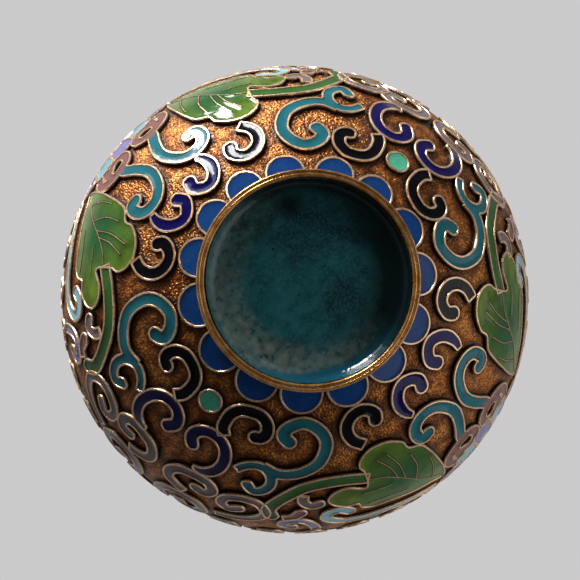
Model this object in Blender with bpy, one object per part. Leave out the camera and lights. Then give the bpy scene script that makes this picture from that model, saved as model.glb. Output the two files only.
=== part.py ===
"""Cloisonne bottle vase: a copper body with raised wire-and-enamel cells on a gilt ground.

Metres, +Z up. The foot's rim stands on z = 0 and the vase's axis is the Z axis. Profile sizes are in millimetres.
"""

import math

import bmesh
import bpy
from mathutils import Vector
from mathutils.geometry import interpolate_bezier

MM = 0.001

# Body. Its profile is the surface that the tops of the wires lie on.
BODY_RADIUS = 43.0
LOWER_DEPTH = 38.0          # half axis of the lower half-ellipse
UPPER_DEPTH = 34.0          # half axis of the upper half-ellipse
FOOT_JOINT_RADIUS = 17.5
FOOT_HEIGHT = 3.6
EQUATOR_Z = FOOT_HEIGHT + LOWER_DEPTH * math.sqrt(1 - (FOOT_JOINT_RADIUS / BODY_RADIUS) ** 2)

# Neck and mouth.
SHOULDER_RADIUS = 20.0      # where the upper half-ellipse gives way to the neck's curve
WAIST_RADIUS = 13.0
WAIST_Z = 96.0
MOUTH_RADIUS = 20.0
MOUTH_Z = 138.0

# Layers, from the wires' tops inwards.
RELIEF = 1.0                # wires and enamel over the gilt ground
COPPER = 1.1
SEAT = 0.12                 # clearance between two layers
LINING = 0.6                # enamel inside the vase

# Foot and base.
RIM_RADIUS = 18.2
RIM_INNER_RADIUS = 16.8
BASE_RADIUS = 16.6
BASE_LOW, BASE_HIGH = 3.1, 4.2
RECESS_Z = 2.5              # underside of the base enamel

# Pattern.
LAPPETS = 15
LAPPET_FOOT_RUN = 0.8
SCROLL_HALF_WIDTH = 1.1
CELL_LOW, CELL_HIGH = 0.12, 0.95    # a cell's underside and top, over the gilt ground
DOT_AXES = (-2.0, 180.5)    # azimuths of the axes that the scrolls mirror about, in degrees
FLOWER_AXES = (88.0, 270.5)

SEGMENTS = 40
LINING_SEGMENTS = 20
BODY_RINGS, SHOULDER_RINGS, NECK_RINGS = 7, 5, 12
NECK_CROWDING = 1.7         # packs the neck's rings where it curves most

# Each quarter of the pattern runs from a dot axis, at 0, to a flower axis, at 90.
# A centre line's points are (degrees from the dot axis, millimetres up the body from the foot).
SCROLLS = {
    "black_inner_scroll": ("black_enamel", [
        (10.6, 12.3), (9.0, 11.0), (8.6, 9.6), (9.4, 8.0), (12.0, 6.8), (15.9, 6.2), (19.7, 6.3), (22.7, 7.4),
        (23.6, 8.9), (22.6, 10.1), (20.6, 10.4)]),
    "black_outer_scroll": ("black_enamel", [
        (58.4, 12.4), (55.5, 11.1), (54.4, 9.5), (55.1, 7.9), (57.7, 6.7), (61.2, 6.3), (64.3, 6.8), (66.1, 7.8),
        (65.8, 8.8)]),
    "cobalt_lower_scroll": ("cobalt_enamel", [
        (74.6, 11.4), (73.3, 10.2), (73.2, 8.8), (74.5, 7.3), (77.1, 6.3), (79.9, 6.1), (82.7, 6.7), (84.6, 7.8),
        (83.9, 9.0)]),
    "turquoise_long_scroll": ("turquoise_enamel", [
        (32.0, 10.0), (30.1, 9.0), (30.7, 7.7), (33.5, 6.7), (37.3, 6.4), (41.1, 7.0), (43.9, 8.4), (45.0, 10.1),
        (44.3, 12.1), (42.2, 14.2), (39.0, 15.7), (34.9, 16.7), (31.4, 17.3), (29.2, 18.5), (28.7, 20.4),
        (27.0, 22.0), (24.6, 22.4), (22.8, 21.5)]),
    "cobalt_upper_scroll": ("cobalt_enamel", [
        (10.8, 24.1), (13.3, 22.9), (15.2, 20.7), (15.7, 18.3), (14.5, 16.0), (11.7, 14.7), (7.9, 14.4), (4.9, 15.3),
        (3.9, 16.9), (5.1, 18.3)]),
    "turquoise_upper_scroll": ("turquoise_enamel", [
        (84.2, 24.7), (86.3, 22.0), (87.2, 18.9), (86.6, 16.4), (84.3, 14.4), (80.9, 13.5), (77.4, 13.7), (74.9, 14.8),
        (74.5, 16.4), (75.7, 17.5), (77.4, 17.3)]),
}
# The leaf's midrib, with its half width at each point: (degrees, millimetres, half width).
LEAF = [
    (31.2, 29.4, 1.0), (30.6, 27.4, 1.1), (32.2, 24.8, 1.2), (35.2, 22.4, 1.2), (39.4, 20.5, 1.2), (45.0, 19.7, 1.2),
    (51.0, 20.0, 1.6), (55.6, 21.0, 5.2), (60.0, 21.8, 7.6), (65.0, 23.4, 8.0), (70.0, 26.0, 6.4), (74.4, 29.6, 3.6),
    (76.8, 32.4, 1.8), (78.0, 34.6, 0.4)]
FLOWER_RUN = 54.0           # its centre, up the body from the foot
FLOWER_RADIUS, FLOWER_PETALS = 20.5, 24

MATERIALS = {
    "gilt_copper": ((0.55, 0.33, 0.13), 0.45, 1.0),
    "polished_brass": ((0.72, 0.50, 0.26), 0.25, 1.0),
    "turquoise_enamel": ((0.01, 0.18, 0.24), 0.12, 0.0),
    "base_turquoise_enamel": ((0.01, 0.09, 0.12), 0.2, 0.0),
    "black_enamel": ((0.006, 0.006, 0.008), 0.1, 0.0),
    "cobalt_enamel": ((0.012, 0.01, 0.22), 0.1, 0.0),
    "lappet_blue_enamel": ((0.01, 0.07, 0.33), 0.12, 0.0),
    "leaf_green_enamel": ((0.06, 0.22, 0.04), 0.12, 0.0),
    "mint_enamel": ((0.1, 0.5, 0.3), 0.12, 0.0),
    "rose_enamel": ((0.35, 0.16, 0.17), 0.12, 0.0),
}


# ---------- the turned profile ----------

def ellipse_points(depth, start, end, steps):
    """Points of the half-ellipse of this depth, between two angles from the axis, downwards for the lower half."""
    sign = -1 if depth == LOWER_DEPTH else 1
    for i in range(steps):
        angle = start + (end - start) * i / steps
        yield BODY_RADIUS * math.sin(angle), EQUATOR_Z + sign * depth * math.cos(angle)


def neck_points(steps):
    """The neck's curve: in from the shoulder, up past the waist and out to the mouth."""
    angle = math.asin(SHOULDER_RADIUS / BODY_RADIUS)
    shoulder = Vector((SHOULDER_RADIUS, EQUATOR_Z + UPPER_DEPTH * math.cos(angle), 0))
    inwards = Vector((-BODY_RADIUS * math.cos(angle), UPPER_DEPTH * math.sin(angle), 0)).normalized()
    waist = Vector((WAIST_RADIUS, WAIST_Z, 0))
    mouth = Vector((MOUTH_RADIUS, MOUTH_Z, 0))
    up = Vector((0, 1, 0))
    outwards = Vector((0.55, 0.84, 0)).normalized()
    first = interpolate_bezier(shoulder, shoulder + 7.5 * inwards, waist - 14 * up, waist, steps)
    second = interpolate_bezier(waist, waist + 20 * up, mouth - 15 * outwards, mouth, steps)
    return [(p.x, p.y) for p in first[:-1] + second]


def make_profile():
    """(radius, height, distance along the profile from the foot), close together."""
    foot_angle = math.asin(FOOT_JOINT_RADIUS / BODY_RADIUS)
    shoulder_angle = math.asin(SHOULDER_RADIUS / BODY_RADIUS)
    points = list(ellipse_points(LOWER_DEPTH, foot_angle, math.pi / 2, 120))
    points += ellipse_points(UPPER_DEPTH, math.pi / 2, shoulder_angle, 100)
    points += neck_points(80)
    run, rows = 0.0, []
    for i, (radius, height) in enumerate(points):
        if i:
            run += math.dist(points[i - 1], (radius, height))
        rows.append((radius, height, run))
    return rows


PROFILE = make_profile()
EQUATOR_RUN = min(PROFILE, key=lambda row: abs(row[1] - EQUATOR_Z))[2]
SHOULDER_RUN = next(run for radius, height, run in PROFILE if height > EQUATOR_Z and radius < SHOULDER_RADIUS)
MOUTH_RUN = PROFILE[-1][2]
NECK_RING_RUN = SHOULDER_RUN + 4.8


def profile_at(run, lift=0.0):
    """(radius, height) at a distance along the profile, moved outwards along its normal by lift."""
    run = min(max(run, 0.0), MOUTH_RUN)
    i = next((k for k in range(1, len(PROFILE)) if PROFILE[k][2] >= run), len(PROFILE) - 1)
    (r0, z0, s0), (r1, z1, s1) = PROFILE[i - 1], PROFILE[i]
    share = (run - s0) / (s1 - s0)
    along = Vector((r1 - r0, z1 - z0)).normalized()
    return r0 + (r1 - r0) * share + along.y * lift, z0 + (z1 - z0) * share - along.x * lift


def on_body(azimuth, run, lift):
    """A point on the vase, in millimetres: azimuth in degrees, distance up the profile, height over the gilt ground."""
    radius, height = profile_at(run, lift - RELIEF)
    angle = math.radians(azimuth)
    return Vector((radius * math.cos(angle), radius * math.sin(angle), height))


# ---------- objects ----------

def material_of(name):
    made = bpy.data.materials.get(name)
    if made is None:
        colour, roughness, metallic = MATERIALS[name]
        made = bpy.data.materials.new(name)
        made.use_nodes = True
        shader = made.node_tree.nodes["Principled BSDF"]
        shader.inputs["Base Color"].default_value = (*colour, 1)
        shader.inputs["Roughness"].default_value = roughness
        shader.inputs["Metallic"].default_value = metallic
    return made


def add_object(name, mesh_data, material):
    """An object from a bmesh in millimetres."""
    bmesh.ops.remove_doubles(mesh_data, verts=mesh_data.verts, dist=1e-4)
    bmesh.ops.recalc_face_normals(mesh_data, faces=mesh_data.faces)
    bmesh.ops.scale(mesh_data, vec=(MM, MM, MM), verts=mesh_data.verts)
    mesh = bpy.data.meshes.new(name)
    mesh_data.to_mesh(mesh)
    mesh_data.free()
    mesh.shade_smooth()
    mesh.set_sharp_from_angle(angle=math.radians(40))
    mesh.materials.append(material_of(material))
    made = bpy.data.objects.new(name, mesh)
    bpy.context.scene.collection.objects.link(made)
    return made


def turned(name, outline, material, segments=SEGMENTS):
    """An outline of (radius, height) spun about the Z axis. It closes on itself unless it starts on the axis."""
    bm = bmesh.new()
    verts = [bm.verts.new((radius, 0, height)) for radius, height in outline]
    edges = [bm.edges.new(pair) for pair in zip(verts, verts[1:])]
    if outline[0][0] > 0:
        edges.append(bm.edges.new((verts[-1], verts[0])))
    bmesh.ops.spin(bm, geom=verts + edges, axis=(0, 0, 1), cent=(0, 0, 0), steps=segments, angle=math.tau,
                   use_merge=True)
    return add_object(name, bm, material)


def wall(first_run, last_run, outer_lift, thickness, rings, crowding=1.0):
    """The outline of a wall that follows the profile: up its outside, and down its inside.
    Its rings crowd towards first_run where crowding is over 1."""
    runs = [first_run + (last_run - first_run) * (i / rings) ** crowding for i in range(rings + 1)]
    outside = [profile_at(run, outer_lift) for run in runs]
    inside = [profile_at(run, outer_lift - thickness) for run in reversed(runs)]
    return outside + inside


def plate(name, rows, material, low=CELL_LOW, high=CELL_HIGH, ring=False):
    """A raised cell that follows the body. rows are its sections, each a list of (azimuth, run) from side to side."""
    bm = bmesh.new()
    tops = [[bm.verts.new(on_body(a, s, high)) for a, s in row] for row in rows]
    bottoms = [[bm.verts.new(on_body(a, s, low)) for a, s in row] for row in rows]
    last = len(rows) if ring else len(rows) - 1
    width = len(rows[0])
    for i in range(last):
        j = (i + 1) % len(rows)
        for k in range(width - 1):
            bm.faces.new((tops[i][k], tops[j][k], tops[j][k + 1], tops[i][k + 1]))
            bm.faces.new((bottoms[i][k + 1], bottoms[j][k + 1], bottoms[j][k], bottoms[i][k]))
        bm.faces.new((tops[i][0], bottoms[i][0], bottoms[j][0], tops[j][0]))
        bm.faces.new((tops[j][-1], bottoms[j][-1], bottoms[i][-1], tops[i][-1]))
    if not ring:
        for i in (0, -1):
            for k in range(width - 1):
                bm.faces.new((tops[i][k], tops[i][k + 1], bottoms[i][k + 1], bottoms[i][k]))
    return add_object(name, bm, material)


# ---------- curves on the body ----------

def smooth_line(points, count):
    """count points evenly spread along a smooth curve through the given ones. A point may carry a third value."""
    dense, steps = [], 12
    for i in range(len(points) - 1):
        before, a, b, after = (Vector(points[min(max(k, 0), len(points) - 1)]) for k in range(i - 1, i + 3))
        for step in range(steps):
            t = step / steps
            dense.append(0.5 * (2 * a + (b - before) * t + (2 * before - 5 * a + 4 * b - after) * t ** 2
                                + (3 * a - before - 3 * b + after) * t ** 3))
    dense.append(Vector(points[-1]))
    lengths = [0.0]
    for a, b in zip(dense, dense[1:]):
        lengths.append(lengths[-1] + (on_body(b[0], b[1], 0) - on_body(a[0], a[1], 0)).length)
    picked = []
    for i in range(count):
        target = lengths[-1] * i / (count - 1)
        k = next((k for k in range(1, len(lengths)) if lengths[k] >= target), len(lengths) - 1)
        share = (target - lengths[k - 1]) / (lengths[k] - lengths[k - 1])
        picked.append(dense[k - 1].lerp(dense[k], share))
    return picked


def across(line, i, offset):
    """(azimuth, run) at a sideways offset in millimetres from point i of a line, to its left."""
    before, after = line[max(i - 1, 0)], line[min(i + 1, len(line) - 1)]
    radius = profile_at(line[i][1])[0]
    degree = math.radians(radius)
    forward = Vector(((after[0] - before[0]) * degree, after[1] - before[1])).normalized()
    return line[i][0] - forward.y * offset / degree, line[i][1] + forward.x * offset


def band_rows(line, half_widths, columns):
    """Sections of a band along a line, with this many points from side to side."""
    spread = [2 * k / (columns - 1) - 1 for k in range(columns)]
    return [[across(line, i, half * side) for side in spread] for i, half in enumerate(half_widths)]


def round_cell(name, azimuth, run, radii, material, rings=2):
    """A raised cell round a centre. radii gives its radius in millimetres at each step round it."""
    degree = math.radians(profile_at(run)[0])
    bm = bmesh.new()
    layers = []
    for lift in (CELL_LOW, CELL_HIGH):
        centre = bm.verts.new(on_body(azimuth, run, lift))
        loops = []
        for ring in range(1, rings + 1):
            loop = []
            for i, radius in enumerate(radii):
                angle, reach = math.tau * i / len(radii), radius * ring / rings
                place = azimuth + reach * math.cos(angle) / degree, run + reach * math.sin(angle)
                loop.append(bm.verts.new(on_body(*place, lift)))
            loops.append(loop)
        layers.append(loops)
        for i in range(len(radii)):
            bm.faces.new((centre, loops[0][i - 1], loops[0][i]))
            for inner, outer in zip(loops, loops[1:]):
                bm.faces.new((inner[i - 1], outer[i - 1], outer[i], inner[i]))
    for i in range(len(radii)):
        low, high = layers[0][-1], layers[1][-1]
        bm.faces.new((low[i - 1], low[i], high[i], high[i - 1]))
    return add_object(name, bm, material)


def quarters():
    """(name, mapping of a point from quarter to azimuth) of the four quarters, two of them mirrored."""
    east, west = DOT_AXES
    back, front = FLOWER_AXES
    for name, start, end in (("east_back", east, back), ("east_front", east, front - 360),
                             ("west_back", west, back), ("west_front", west, front)):
        yield name, lambda point, start=start, end=end: (start + (end - start) * point[0] / 90, *point[1:])


# ---------- the pieces ----------

def make_structure():
    """The copper body, base and neck, with their brass rings."""
    shell = -RELIEF
    turned("lower_body_shell", wall(0.0, EQUATOR_RUN - SEAT, shell, COPPER, BODY_RINGS), "gilt_copper")
    turned("upper_body_shell", wall(EQUATOR_RUN + SEAT, SHOULDER_RUN - SEAT, shell, COPPER, SHOULDER_RINGS), "gilt_copper")
    turned("neck_tube", wall(SHOULDER_RUN + SEAT, MOUTH_RUN - 1.5, shell, COPPER, NECK_RINGS, NECK_CROWDING), "gilt_copper")
    turned("foot_ring", [
        (RIM_INNER_RADIUS, 0.5), (17.1, 0.0), (17.9, 0.0), (RIM_RADIUS, 0.5), (18.0, 2.2), (17.7, 3.3),
        (17.3, 4.2), (RIM_INNER_RADIUS, 4.2)], "polished_brass")
    turned("base_disc", [(0, BASE_LOW), (BASE_RADIUS, BASE_LOW), (BASE_RADIUS, BASE_HIGH), (0, BASE_HIGH)],
           "gilt_copper")
    turned("neck_ring", [
        profile_at(NECK_RING_RUN + along, lift)
        for along, lift in ((-1.0, -0.6), (-1.0, 0.3), (0.0, 0.8), (1.0, 0.3), (1.0, -0.6))],
        "polished_brass")
    mouth_radius, mouth_z = profile_at(MOUTH_RUN, 0.0)
    turned("mouth_rim", [
        (mouth_radius - 0.6, mouth_z - 1.0), (mouth_radius + 0.5, mouth_z - 0.6), (mouth_radius + 0.9, mouth_z + 0.2),
        (mouth_radius + 0.3, mouth_z + 0.8), (mouth_radius - 0.9, mouth_z + 0.8), (mouth_radius - 1.6, mouth_z + 0.2),
        (mouth_radius - 1.9, mouth_z - 0.5)], "polished_brass")


def make_linings():
    """Turquoise enamel inside the vase and under its base."""
    lift = -RELIEF - COPPER - SEAT
    floor = BASE_HIGH + SEAT
    lower = wall(0.0, EQUATOR_RUN - SEAT, lift, LINING, BODY_RINGS)
    lower = [(0, floor), (15.6, floor), *lower, (15.3, floor + LINING), (0, floor + LINING)]
    turned("lower_body_lining", lower, "base_turquoise_enamel", LINING_SEGMENTS)
    upper = wall(EQUATOR_RUN + SEAT, SHOULDER_RUN - SEAT, lift, LINING, SHOULDER_RINGS)
    turned("upper_body_lining", upper, "base_turquoise_enamel", LINING_SEGMENTS)
    neck = wall(SHOULDER_RUN + SEAT, MOUTH_RUN - 1.5, lift, LINING, NECK_RINGS, NECK_CROWDING)
    turned("neck_lining", neck, "base_turquoise_enamel", LINING_SEGMENTS)
    edge = RIM_INNER_RADIUS - 0.1
    turned("base_enamel", [
        (0, RECESS_Z), (13.8, RECESS_Z), (15.4, 2.2), (16.1, 1.5), (16.4, 0.6), (edge, 0.6), (edge, BASE_LOW - 0.06),
        (0, BASE_LOW - 0.06)], "base_turquoise_enamel")


def lappet_arc(centre, radius, steps, foot_run=LAPPET_FOOT_RUN):
    """(azimuth, run) along a half-round arch that springs from foot_run, in the order of azimuth."""
    top_run = LAPPET_FOOT_RUN + 0.92 * radius
    for i in range(steps + 1):
        angle = math.pi * i / steps
        run = foot_run + (top_run - foot_run) * math.sin(angle)
        degree = math.radians(profile_at(run)[0])
        yield centre - radius * math.cos(angle) / degree, run


def make_foot_border():
    """Fifteen blue lappets inside one scalloped wire."""
    pitch = 360 / LAPPETS
    degree = math.radians(profile_at(LAPPET_FOOT_RUN)[0])
    reach = pitch * degree / 2
    wire_rows = []
    for n in range(LAPPETS):
        centre = n * pitch
        inner = list(lappet_arc(centre, reach - 0.5, 8))
        outer = list(lappet_arc(centre, reach - 0.02, 8))
        wire_rows += [[a, b] for a, b in zip(inner, outer)]
        fill = list(lappet_arc(centre, reach - 0.72, 8, LAPPET_FOOT_RUN + 0.45))
        base = [(a, LAPPET_FOOT_RUN) for a, _ in fill]
        plate(f"foot_lappet_{n + 1:02d}", [[b, f] for b, f in zip(base, fill)], "lappet_blue_enamel", high=0.85)
    plate("foot_border_wire", wire_rows, "polished_brass", ring=True)


def make_scrolls():
    for quarter, place in quarters():
        for name, (material, points) in SCROLLS.items():
            line = [place(p) for p in smooth_line(points, 2 * len(points) - 1)]
            halves = [SCROLL_HALF_WIDTH] * (len(line) - 1) + [SCROLL_HALF_WIDTH * 0.6]
            plate(f"{name}_{quarter}", band_rows(line, halves, 2), material)
        ribs = [place(p) for p in smooth_line(LEAF, 14)]
        plate(f"leaf_{quarter}", band_rows(ribs, [p[2] for p in ribs], 5), "leaf_green_enamel")


def make_rounds():
    for axis, side in zip(DOT_AXES, ("east", "west")):
        round_cell(f"mint_dot_{side}", axis, 9.2, [1.9] * 12, "mint_enamel", rings=1)
    for axis, side in zip(FLOWER_AXES, ("back", "front")):
        steps = FLOWER_PETALS * 3
        lobes = [abs(math.sin(math.pi * FLOWER_PETALS * i / steps)) for i in range(steps)]
        radii = [FLOWER_RADIUS * (0.92 + 0.08 * lobe) for lobe in lobes]
        round_cell(f"flower_{side}", axis, FLOWER_RUN, radii, "rose_enamel", rings=5)


def main():
    for old in list(bpy.data.objects):
        bpy.data.objects.remove(old)
    make_structure()
    make_linings()
    make_foot_border()
    make_scrolls()
    make_rounds()


main()
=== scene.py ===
"""Looks of the raised cloisonne vase: gilt wires, enamel cells and a punched ground, round its CAD model.

Sizes here are in millimetres unless a comment says otherwise. Meshes are scaled to metres as they are made.
"""

import json
import math

import bpy
import numpy as np
from mathutils import Matrix, Vector
from mathutils.geometry import delaunay_2d_cdt
from mathutils.kdtree import KDTree


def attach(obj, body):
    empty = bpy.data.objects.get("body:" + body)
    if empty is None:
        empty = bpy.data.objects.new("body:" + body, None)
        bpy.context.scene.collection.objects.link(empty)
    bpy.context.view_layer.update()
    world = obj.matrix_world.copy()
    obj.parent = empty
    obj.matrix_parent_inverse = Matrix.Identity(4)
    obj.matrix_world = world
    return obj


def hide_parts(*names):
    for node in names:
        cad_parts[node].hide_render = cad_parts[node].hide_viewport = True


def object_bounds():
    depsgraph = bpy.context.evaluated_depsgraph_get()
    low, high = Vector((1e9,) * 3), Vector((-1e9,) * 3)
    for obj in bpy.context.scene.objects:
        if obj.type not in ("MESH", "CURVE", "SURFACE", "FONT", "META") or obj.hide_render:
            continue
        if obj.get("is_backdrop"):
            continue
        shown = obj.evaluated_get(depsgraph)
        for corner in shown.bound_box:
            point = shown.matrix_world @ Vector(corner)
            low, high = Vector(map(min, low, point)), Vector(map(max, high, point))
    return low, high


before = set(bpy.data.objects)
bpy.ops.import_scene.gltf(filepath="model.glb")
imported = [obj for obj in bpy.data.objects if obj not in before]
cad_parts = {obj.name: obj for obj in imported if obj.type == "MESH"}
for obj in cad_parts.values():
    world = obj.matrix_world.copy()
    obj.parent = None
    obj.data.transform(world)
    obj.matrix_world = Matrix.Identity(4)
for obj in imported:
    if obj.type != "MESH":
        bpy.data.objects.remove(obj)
cad_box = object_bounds()

MM = 0.001

# The vase's profile, as in the CAD model. It is the surface that the tops of the wires lie on.
BODY_RADIUS = 43.0
LOWER_DEPTH = 38.0
UPPER_DEPTH = 34.0
FOOT_JOINT_RADIUS = 17.5
FOOT_HEIGHT = 3.6
EQUATOR_Z = FOOT_HEIGHT + LOWER_DEPTH * math.sqrt(1 - (FOOT_JOINT_RADIUS / BODY_RADIUS) ** 2)
SHOULDER_RADIUS = 20.0
WAIST_RADIUS, WAIST_Z = 13.0, 96.0
MOUTH_RADIUS, MOUTH_Z = 20.0, 138.0
MOUTH_LEAN = (0.55, 0.84)   # the flare's direction at the mouth
# Reach of the neck curves' handles.
SHOULDER_PULL, WAIST_DROP, WAIST_RISE, MOUTH_PULL = 7.5, 14.0, 20.0, 15.0
LOWER_STEPS, UPPER_STEPS, NECK_STEPS = 600, 500, 400
NECK_RING_UP = 4.8          # from the shoulder, along the profile
RELIEF = 1.0                # wires' tops over the CAD model's ground
GROUND_LIFTS = (0.22, 0.6)  # what the punched gilding adds to it, low on the body and near the equator
GROUND_RISES = (26.0, 38.0) # where along the profile the second of them takes over
GROUND_SWELL = 0.05         # how uneven the gilding is
COPPER = 1.1
SEAT = 0.12                 # clearance between neighbouring pieces
LINING = 0.6
MOUTH_GAP = 1.5             # from the neck's wall and lining to the mouth's edge
RIM_RADIUS, RIM_INNER_RADIUS = 18.2, 16.8
RECESS_Z = 2.5              # underside of the base enamel
BASE_HIGH = 4.2

# Wires and enamel.
WIRE_HALF_WIDTH = 0.2
WIRE_STEP = 0.3             # distance between a wire's sections
ENAMEL_LEVEL = 0.8          # enamel's lift over the ground, away from a wire
ENAMEL_RISE = 0.13          # how much higher it stands against a wire
ENAMEL_SHORE = 0.25         # how far from the wire that rise reaches
ENAMEL_FLOOR = 0.05         # lift of its underside
ENAMEL_STEP = 0.42
GRID_ROWS, GRID_GAP = 0.87, 0.6     # the inner grid's rows, and its distance from the shore's, in steps
SHORE_DEPTHS = (0.32, 0.62) # where the enamel's vertices line its wires
SCROLL_HALF_WIDTH = 1.04    # from a scroll's centre line to its wire's
JOIN_DEPTH = 0.12           # a wire is left out where it runs deeper than this in a joined outline
VEIN_TOP, VEIN_WIDTH, VEIN_TARNISH = 0.97, 0.55, 0.16   # a leaf's veins against other wires
MARK_REACH = 2.0            # distance from a wire at which the first mark is 1

# Pattern. Azimuths are in degrees.
DOT_AXES = (-2.0, 180.5)
FLOWER_AXES = (88.0, 270.5)


# ---------- the vase's surface ----------
# A place on it is (azimuth in radians, q), where q sums the length along the profile over the local radius.
# A small shape keeps its form on such a map, as on a Mercator chart.
# A run is a length along the profile, from the foot's joint up.

def bezier(a, b, c, d, count):
    t = np.linspace(0, 1, count)[:, None]
    return (1 - t) ** 3 * a + 3 * (1 - t) ** 2 * t * b + 3 * (1 - t) * t ** 2 * c + t ** 3 * d


def make_profile():
    """(radius, height) of points close together, from the foot to the mouth."""
    foot_angle = math.asin(FOOT_JOINT_RADIUS / BODY_RADIUS)
    shoulder_angle = math.asin(SHOULDER_RADIUS / BODY_RADIUS)
    low = np.linspace(foot_angle, math.pi / 2, LOWER_STEPS, endpoint=False)
    high = np.linspace(math.pi / 2, shoulder_angle, UPPER_STEPS, endpoint=False)
    lower = np.stack([BODY_RADIUS * np.sin(low), EQUATOR_Z - LOWER_DEPTH * np.cos(low)], axis=1)
    upper = np.stack([BODY_RADIUS * np.sin(high), EQUATOR_Z + UPPER_DEPTH * np.cos(high)], axis=1)
    shoulder = np.array([SHOULDER_RADIUS, EQUATOR_Z + UPPER_DEPTH * math.cos(shoulder_angle)])
    inwards = np.array([-BODY_RADIUS * math.cos(shoulder_angle), UPPER_DEPTH * math.sin(shoulder_angle)])
    inwards /= np.linalg.norm(inwards)
    waist, mouth = np.array([WAIST_RADIUS, WAIST_Z]), np.array([MOUTH_RADIUS, MOUTH_Z])
    up = np.array([0.0, 1.0])
    outwards = np.array(MOUTH_LEAN) / np.linalg.norm(MOUTH_LEAN)
    neck = bezier(shoulder, shoulder + SHOULDER_PULL * inwards, waist - WAIST_DROP * up, waist, NECK_STEPS)
    flare = bezier(waist, waist + WAIST_RISE * up, mouth - MOUTH_PULL * outwards, mouth, NECK_STEPS)
    return np.concatenate([lower, upper, neck[:-1], flare])


PROFILE = make_profile()
STEPS = np.linalg.norm(np.diff(PROFILE, axis=0), axis=1)
RUNS = np.concatenate([[0], np.cumsum(STEPS)])
QS = np.concatenate([[0], np.cumsum(2 * STEPS / (PROFILE[1:, 0] + PROFILE[:-1, 0]))])
ALONG = np.gradient(PROFILE, RUNS, axis=0)
ALONG /= np.linalg.norm(ALONG, axis=1)[:, None]

EQUATOR_RUN = float(RUNS[LOWER_STEPS])
SHOULDER_RUN = float(RUNS[LOWER_STEPS + UPPER_STEPS])
MOUTH_RUN = float(RUNS[-1])
NECK_RING_RUN = SHOULDER_RUN + NECK_RING_UP


def q_at(run):
    return np.interp(run, RUNS, QS)


def run_at(q):
    return np.interp(q, QS, RUNS)


def radius_at(q):
    return np.interp(q, QS, PROFILE[:, 0])


def ground_lift(places):
    """How far the gilt ground stands over the CAD model's. The relief is lower near the equator."""
    share = np.clip((run_at(places[:, 1]) - GROUND_RISES[0]) / (GROUND_RISES[1] - GROUND_RISES[0]), 0, 1)
    return GROUND_LIFTS[0] + (GROUND_LIFTS[1] - GROUND_LIFTS[0]) * share


def on_vase(places, lift):
    """Points in metres at places [(azimuth, q)], lifted this far over the CAD model's ground."""
    azimuth, q = places[:, 0], places[:, 1]
    radius, height = (np.interp(q, QS, PROFILE[:, k]) for k in (0, 1))
    along_r, along_z = (np.interp(q, QS, ALONG[:, k]) for k in (0, 1))
    out = radius + along_z * (lift - RELIEF)
    up = height - along_r * (lift - RELIEF)
    return np.stack([out * np.cos(azimuth), out * np.sin(azimuth), up], axis=1) * MM


# ---------- lines and outlines on the surface ----------

def smooth_line(places, step=WIRE_STEP, closed=False):
    """Places spread evenly, step millimetres apart, along a smooth curve through the given ones."""
    points = np.asarray(places, float)
    count = len(points)
    spans = count if closed else count - 1
    t = np.linspace(0, 1, 16, endpoint=False)[:, None]
    parts = []
    for i in range(spans):
        index = np.arange(i - 1, i + 3)
        index = index % count if closed else np.clip(index, 0, count - 1)
        before, a, b, after = points[index]
        parts.append(0.5 * (2 * a + (b - before) * t + (2 * before - 5 * a + 4 * b - after) * t ** 2
                            + (3 * a - before - 3 * b + after) * t ** 3))
    parts.append(points[:1] if closed else points[-1:])
    dense = np.concatenate(parts)
    return spread(dense, step, closed)


def spread(line, step, closed=False):
    """The same line, with places step millimetres apart. A closed line comes in ending where it starts, and
    loses that last place."""
    gaps = np.linalg.norm(np.diff(line[:, :2], axis=0), axis=1)
    lengths = np.concatenate([[0], np.cumsum(gaps * radius_at(line[1:, 1]))])
    count = max(int(round(lengths[-1] / step)), 3) + 1
    targets = np.linspace(0, lengths[-1], count)
    evened = np.stack([np.interp(targets, lengths, line[:, k]) for k in range(line.shape[1])], axis=1)
    return evened[:-1] if closed else evened


def sideways(line, closed=False):
    """The unit vector to the left of the line at each place."""
    if closed:
        ahead = np.roll(line, -1, axis=0) - np.roll(line, 1, axis=0)
    else:
        ahead = np.gradient(line, axis=0)
    ahead /= np.maximum(np.linalg.norm(ahead, axis=1), 1e-12)[:, None]
    return np.stack([-ahead[:, 1], ahead[:, 0]], axis=1)


def shifted(line, offset, closed=False):
    """The line moved to its left by an offset in millimetres, or by one for each place."""
    return line + sideways(line, closed) * (np.asarray(offset) / radius_at(line[:, 1]))[:, None]


def arc(centre, start, radius, sweep, count):
    """Places on an arc about centre, from the direction start, turning by sweep. Its ends are left out."""
    angles = math.atan2(start[1], start[0]) + np.linspace(0, sweep, count + 2)[1:-1]
    reach = radius / radius_at(centre[1])
    return centre + reach * np.stack([np.cos(angles), np.sin(angles)], axis=1)


def counter_clockwise(outline):
    x, y = outline[:, 0], outline[:, 1]
    area = np.sum(x * np.roll(y, -1) - np.roll(x, -1) * y)
    return outline if area > 0 else outline[::-1].copy()


def closed_outline(places):
    """A closed outline through these places, evenly spread and counter-clockwise."""
    return counter_clockwise(spread(np.concatenate([places, places[:1]]), WIRE_STEP, closed=True))


def band_outline(line, half_widths):
    """The closed outline of a band along a line, cut straight at its start and rounded at its end."""
    left, right = shifted(line, half_widths), shifted(line, -half_widths)
    cap = arc(line[-1], sideways(line)[-1], half_widths[-1], -math.pi, 7)
    return closed_outline(np.concatenate([left, cap, right[::-1]]))


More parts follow.
